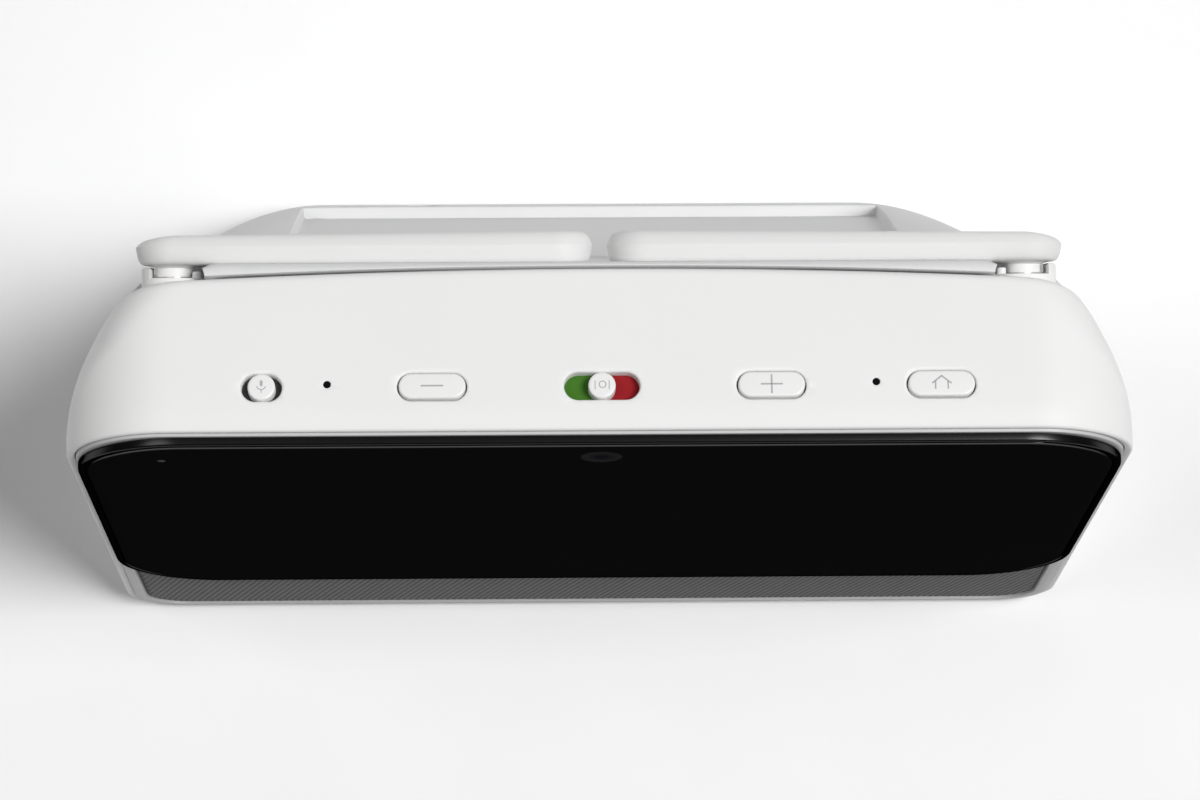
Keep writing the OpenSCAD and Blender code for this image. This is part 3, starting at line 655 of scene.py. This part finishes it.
# ---- front -------------------------------------------------------------------------------------
def front():
    """Pale front ring, black display rim and cover glass."""
    p = Parts()
    rows = [(RING_IN, 4.2), (RING_IN, -0.36), (RING_IN + 0.04, -0.46), (RING_IN + 0.12, -0.5)]
    outer = [on_face(q[:, 0], q[:, 1], w) for i, w in rows
             for q in [round_rect(HALF_W - i, i, FACE_H - i, FACE_R - i, FOOT_R - i)]]
    high = DISP_LOW + DISP_R + 3

    def hole(grow, w):
        """Inner edge: round the cloth below, round the module above."""
        cl = round_rect(HALF_W - CLOTH_IN + grow, CLOTH_LOW - grow, high, 1, CLOTH_R + grow)
        di = round_rect(DISP_HALF + 0.15 - BACK_IN + grow, DISP_LOW, DISP_TOP + 0.15 - BACK_IN + grow,
                        DISP_R + 0.15 - BACK_IN + grow)
        q = np.concatenate([cl[:40], di[40:]])
        return on_face(q[:, 0], q[:, 1], w)

    inner = [hole(0.35, -0.5), hole(0.1, -0.4), hole(0, -0.15), hole(0, 4.2)]
    p.loft(outer + inner, closed=True)
    p.make("front_ring", frame_grey, "frame_grey", stands_for=("front_frame",))

    p = Parts()
    ledge = 0.1 - PROUD + GLASS_T
    rows = [(-BACK_IN, 3.8), (-BACK_IN, FLANGE_W), (-0.1, FLANGE_W), (0, FLANGE_W - 0.1), (0, -1.65),
            (-0.05, -1.84), (-0.17, -1.95), (-0.36, -PROUD), (-RIM + 0.1, -PROUD), (-RIM, 0.1 - PROUD),
            (-RIM, ledge), (-BACK_IN - 1.5, ledge), (-BACK_IN - 1.5, 3.8)]
    p.loft([display_ring(g, w) for g, w in rows], closed=True)
    p.make("display_bezel", rim_black, "dark_plastic", stands_for=("display_frame",))

    p = Parts()
    rows = [(-GLASS_IN, GLASS_T - PROUD), (-GLASS_IN, 0.16 - PROUD), (-GLASS_IN - 0.05, 0.05 - PROUD),
            (-GLASS_IN - 0.16, -PROUD), (-GLASS_IN - 1.5, -PROUD)]
    p.loft([display_ring(g, w) for g, w in rows])
    p.make("screen", BY_SLOT["screen_glass"], "screen_glass", stands_for=("cover_glass",))


front()


# ---- cloth -------------------------------------------------------------------------------------
def cloth():
    """Twill sheet: diagonal ridges of yarn floats, pulled flat over the grille and under the display."""
    half, low, high = HALF_W - CLOTH_IN - 0.1, CLOTH_LOW + 0.1, DISP_LOW + DISP_R + 2.9
    step_u, rows = 0.2, 150
    us = np.linspace(-half, half, int(2 * half / step_u))
    au = np.abs(us)
    r = CLOTH_R - 0.1
    v0 = low + r - np.sqrt(np.maximum(r * r - np.maximum(au - (half - r), 0) ** 2, 0))
    g = -BACK_IN + 0.25
    dr, dh, dl = DISP_R + g, DISP_HALF + g, DISP_LOW - g
    v1 = dl + dr - np.sqrt(np.maximum(dr * dr - np.maximum(au - (dh - dr), 0) ** 2, 0))
    v1 = np.minimum(v1, high)
    t = np.linspace(0, 1, rows)
    v = v0[None, :] + (v1 - v0)[None, :] * t[:, None]
    u = np.broadcast_to(us, v.shape)
    phase = u / TWILL_PITCH - v / (TWILL_PITCH * TWILL_LEAN)
    ridge = 0.5 + 0.5 * np.cos(2 * np.pi * phase)
    bead = 0.5 + 0.5 * np.cos(2 * np.pi * (v / FLOAT_LEN + np.floor(phase + 0.5) * 0.37))
    h = TWILL_H * ridge ** 0.8 * (0.62 + 0.38 * bead)
    edge = np.clip(np.minimum(np.minimum(half - np.abs(u), v - v0[None, :]), v1[None, :] - v) / 0.8, 0, 1)
    w = -h * edge + 0.25 * (1 - edge)
    front_v = on_face(u, v, w).reshape(-1, 3)
    back_v = on_face(u, v, np.full(v.shape, CLOTH_T)).reshape(-1, 3)
    n, m = v.shape
    idx = np.arange(n * m).reshape(n, m)
    quad = np.stack([idx[:-1, :-1], idx[:-1, 1:], idx[1:, 1:], idx[1:, :-1]], -1).reshape(-1, 4)
    rim_i = np.concatenate([idx[0, :-1], idx[:-1, -1], idx[-1, :0:-1], idx[:0:-1, 0]])
    nxt = np.roll(rim_i, -1)
    off = n * m
    side = np.stack([rim_i, nxt, nxt + off, rim_i + off], -1)
    faces = np.concatenate([quad[:, ::-1], quad + off, side])
    # Painted shade and light: lift, the ridges' height, becomes the point attribute below, which paints the
    # hollows dark and the crests light; just under the display, in its shade, this painted shading is
    # flattened, and the back face gets a middle tone.
    lift = h / TWILL_H
    near = np.clip((v - DISP_LOW + 5) / 5, 0, 1)            # flatter tones just under the display
    lift = np.where(v > DISP_LOW - 5, lift * (1 - 0.35 * near) + 0.1, lift)
    raised = np.concatenate([lift.reshape(-1), np.full(lift.size, 0.3)])
    o = add("grille_fabric", np.concatenate([front_v, back_v]), faces, BY_SLOT["cloth"], "cloth",
            stands_for=("grille_cloth",), sharp=60, point_data={"raised": raised})


cloth()


# ---- controls ----------------------------------------------------------------------------------
def glyph(name, body, x, top, strokes):
    """Raised mark on a cap: bars from a to b of some width."""
    p = Parts()
    for (ax, ay), (bx, by), wid in strokes:
        ang = math.atan2(by - ay, bx - ax)
        length = math.hypot(bx - ax, by - ay)
        rings = []
        for i, z in ((0, top - 0.2), (0, top + 0.02), (0.03, top + 0.05)):
            q = stadium(length + wid, wid, i, 8)
            rings.append(on_top(q[:, 0] * math.cos(ang) - q[:, 1] * math.sin(ang) + (ax + bx) / 2 + x,
                                q[:, 0] * math.sin(ang) + q[:, 1] * math.cos(ang) + (ay + by) / 2 + ROW_Y, z))
        p.loft(rings)
    p.make(name, glyph_grey, "frame_grey", body=body)


def cap(name, node, x, strokes):
    """Push button: a domed pill over the flange that keeps it in the shell."""
    p = Parts()
    rows = [(0, -2.9), (0, 0.1), (0.04, 0.28), (0.14, 0.41), (0.3, 0.48), (0.5, CAP_H)]
    flange = pill_rings(x, PILL_L + 2.2, 6, [(0, -3.6), (0, -2.9)])
    p.loft(flange + pill_rings(x, PILL_L, PILL_W, rows))
    p.make(name, button_white, "shell_white", body=node, stands_for=(node,))
    glyph(name + "_mark", node, x, CAP_H, strokes)


cap("volume_down_cap", "volume_down_button", -VOLUME_X, [((-1.85, 0), (1.85, 0), 0.3)])
cap("volume_up_cap", "volume_up_button", VOLUME_X,
    [((-1.8, 0), (1.8, 0), 0.3), ((0, -1.6), (0, 1.6), 0.3)])
cap("home_cap", "home_button", OUTER_X,
    [((-1.6, 0.0), (0, 1.3), 0.28), ((0, 1.3), (1.6, 0.0), 0.28),
     ((-1.1, 0.3), (-1.1, -1.0), 0.26), ((1.1, 0.3), (1.1, -1.0), 0.26)])


def knob(name, node, x, strokes):
    """Round slider knob, standing in its slot."""
    p = Parts()
    r = KNOB_D / 2
    rows = [(r, -2.1), (r, 0.06), (r - 0.05, 0.22), (r - 0.16, 0.33), (r - 0.34, 0.39), (r - 0.55, KNOB_H)]
    p.lathe(lambda a, b, z: on_top(a + x, b + ROW_Y, z), rows)
    p.make(name, button_white, "shell_white", body=node, stands_for=(node,))
    glyph(name + "_mark", node, x, KNOB_H, strokes)


def arc(cx, cy, r, a0, a1, n, w):
    """An arc of a glyph as n short strokes."""
    t = [math.radians(a0 + (a1 - a0) * i / n) for i in range(n + 1)]
    pts = [(cx + r * math.cos(a), cy + r * math.sin(a)) for a in t]
    return [(pts[i], pts[i + 1], w) for i in range(n)]


knob("mic_knob", "mic_slider", -OUTER_X,
     [((0, 0.35), (0, 0.95), 0.5)] + arc(0, 0.35, 0.85, 200, 340, 5, 0.16) + [((0, -0.5), (0, -1.05), 0.16)])
knob("camera_knob", "camera_slider", 0,
     arc(0.1, 0.1, 0.62, 0, 360, 8, 0.16)
     + [((-1.2, 0.75), (-1.2, -0.75), 0.16), ((1.25, 0.75), (1.25, -0.75), 0.16)])


def slot_floors():
    """Coloured floors of the two slider slots."""
    y0, y1 = ROW_Y - 3.1, ROW_Y + 3.1
    for name, x0, x1, mat, slot, node in (
            ("mic_floor", -OUTER_X - 4.6, -OUTER_X + 4.6, dark_plastic, "dark_plastic", "mic_slot_floor"),
            ("green_floor", -8.0, 0, green_label, "green", "camera_on_label"),
            ("red_floor", 0, 8.0, red_label, "red", "camera_off_label")):
        q = np.array([(x0, y0), (x1, y0), (x1, y1), (x0, y1)])
        floor_rings = [on_top(q[:, 0], q[:, 1], z) for z in (LABEL_Z, LABEL_Z + FLOOR_T)]
        Parts().loft(floor_rings).make(name, mat, slot, stands_for=(node,))


slot_floors()


def mic_mesh():
    """Black acoustic mesh just inside the two microphone holes."""
    for side, x in (("left", -MIC_X), ("right", MIC_X)):
        p = Parts()
        p.lathe(lambda a, b, z, x=x: on_top(a + x, b + ROW_Y + MIC_BEHIND, z),
                [(0.7, -0.7), (0.7, -0.24), (0.02, -0.24)], 32)
        p.make("mic_mesh_" + side, rim_black, "dark_plastic")


mic_mesh()


# ---- antennas ----------------------------------------------------------------------------------
def paddle(side, s):
    """Flat paddle with a crease along its edge, thinner at the hinge, on a flared neck."""
    length, wid = PADDLE_LEN + PADDLE_W / 2, PADDLE_W
    mid = HINGE_X + PADDLE_W / 2 - length / 2
    rows = [(2.3, 0.0), (1.45, 0.12), (0.85, 0.42), (0.5, 0.9), (0.28, 1.6), (0.12, 2.4), (0.0, 3.32),
            (0.03, 3.4), (0.22, 4.1), (0.55, 4.8), (0.95, 5.3), (1.5, 5.65), (2.3, 5.78), (3.0, PADDLE_T)]
    p = Parts()
    rings = []
    for i, y in rows:
        q = stadium(length, wid, i, 36)
        x = mid + q[:, 0]
        yy = np.full(len(x), PADDLE_Y + y)
        thin_x = 64                                      # the paddle thins from here to its end
        back = np.clip((x - thin_x) / (HINGE_X + PADDLE_W / 2 - thin_x), 0, 1)
        crease = PADDLE_Y + 3.3
        yy = np.where(yy > crease, crease + (yy - crease) * np.sqrt(1 - 0.93 * back ** 2), yy)
        rings.append(np.stack([s * x, yy, HINGE_Z + q[:, 1]], -1))
    p.loft(rings)
    neck = [(PIVOT_R + 0.3, -NECK), (PIVOT_R + 0.3, -0.42), (PIVOT_R + 0.45, -0.3),
            (4.2, 0.0), (5.1, 0.4), (5.9, 0.8)]
    p.lathe(lambda a, b, z: np.stack(
        np.broadcast_arrays(s * (HINGE_X + a), PADDLE_Y + z, HINGE_Z + b), -1), neck)
    body = "antenna_" + side
    p.make("paddle_" + side, paddle_white, "shell_white", body=body, stands_for=(body,), sharp=28)


paddle("left", -1)
paddle("right", 1)


# ---- feet and screws ---------------------------------------------------------------------------
def feet():
    """Two rubber bars under the base, with rounded lower edges."""
    p = Parts()
    for y in (-36, 14):
        rows = [(0, FOOT), (0, 0.35), (0.1, 0.1), (0.35, 0.0)]
        p.loft([np.stack([q[:, 0], q[:, 1] + y, np.full(len(q), z)], -1) for i, z in rows
                for q in [round_rect(64 - i, i, 12 - i, 4 - i)]])
    p.make("base_feet", rubber, "rubber", stands_for=("rubber_feet",))


def screws():
    """Rear and base case screws, with a cross recess."""
    p = Parts()
    places = [(lambda a, b, z, u=u, v=v: on_face(u + a, v + b, POST_W + 3 + z)) for u, v in SCREWS]
    places += [(lambda a, b, z, s=s: np.stack(
        np.broadcast_arrays(s * BASE_X + a, BASE_Y + b, BASE_HEAD_Z - z), -1)) for s in (-1, 1)]
    lengths = (7, 7, 6, 6)
    for at, n in zip(places, lengths):
        p.lathe(at, [(0.6, -n), (SCREW_R, -n + 0.8), (SCREW_R, 0), (HEAD_R, 0), (HEAD_R, 0.8),
                     (HEAD_R - 0.2, 1.15), (HEAD_R - 0.8, HEAD_H)], 32)
    o = p.make("case_screw_set", steel_grey, "steel", stands_for=("case_screws",))
    cross = Parts()
    for at in places:
        a, b = 0.24, 1.3                                 # half width and reach of the recess
        q = np.array([(-b, -a), (-a, -a), (-a, -b), (a, -b), (a, -a), (b, -a),
                      (b, a), (a, a), (a, b), (-a, b), (-a, a), (-b, a)])
        cross.loft([at(q[:, 0], q[:, 1], z) for z in (0.55, 1.6)])
    cut(o, cutter(cross))
    smooth(o, 35)


feet()
screws()

# ---- stage, light and camera ---------------------------------------------------------------------
floor_me = bpy.data.meshes.new("floor")
floor_me.from_pydata([(-3, -3, 0), (3, -3, 0), (3, 3, 0), (-3, 3, 0)], [], [(0, 1, 2, 3)])
floor = bpy.data.objects.new("floor", floor_me)
bpy.context.scene.collection.objects.link(floor)
floor_me.materials.append(
    moulded("floor_white", (0.95, 0.95, 0.95), 0.8, grain=3, depth=0.02, spec=0.1, wear=0))


def area(name, at, aim, size, power):
    """A soft round lamp at a place in metres, aimed at a point."""
    d = bpy.data.lights.new(name, "AREA")
    d.shape, d.size, d.energy = "DISK", size, power
    o = bpy.data.objects.new(name, d)
    o.location = at
    o.rotation_euler = (Vector(aim) - Vector(at)).to_track_quat("-Z", "Y").to_euler()
    bpy.context.scene.collection.objects.link(o)


area("key", (1.5, 0.35, 3.3), (0, 0, 0.08), 1.5, 112)
area("fill", (-1.6, 0.6, 3.0), (0, 0, 0.05), 1.6, 25)
world = bpy.data.worlds.new("studio")
bpy.context.scene.world = world
world.use_nodes = True
wt = world.node_tree
sky = wt.nodes.new("ShaderNodeTexCoord")
split = wt.nodes.new("ShaderNodeSeparateXYZ")
wt.links.new(sky.outputs["Generated"], split.inputs[0])
wt.links.new(spread(wt, split.outputs["Z"], 0.16, 1.15, 0.0, 0.9), wt.nodes["Background"].inputs["Strength"])
bpy.context.scene.view_settings.view_transform = "Standard"

cam_data = bpy.data.cameras.new("camera")
cam_data.sensor_width, cam_data.lens = 36.0, 121.32
cam_data.clip_start, cam_data.clip_end = 0.01, 20
camera = bpy.data.objects.new("camera", cam_data)
bpy.context.scene.collection.objects.link(camera)
turn = (Matrix.Rotation(math.radians(0.33), 4, "Z") @ Matrix.Rotation(math.radians(1.06), 4, "Y")
        @ Matrix.Rotation(math.radians(-0.03), 4, "X"))
camera.matrix_world = Matrix.Translation((-0.0134, 0.00005, 0.841)) @ turn.transposed()
bpy.context.scene.camera = camera
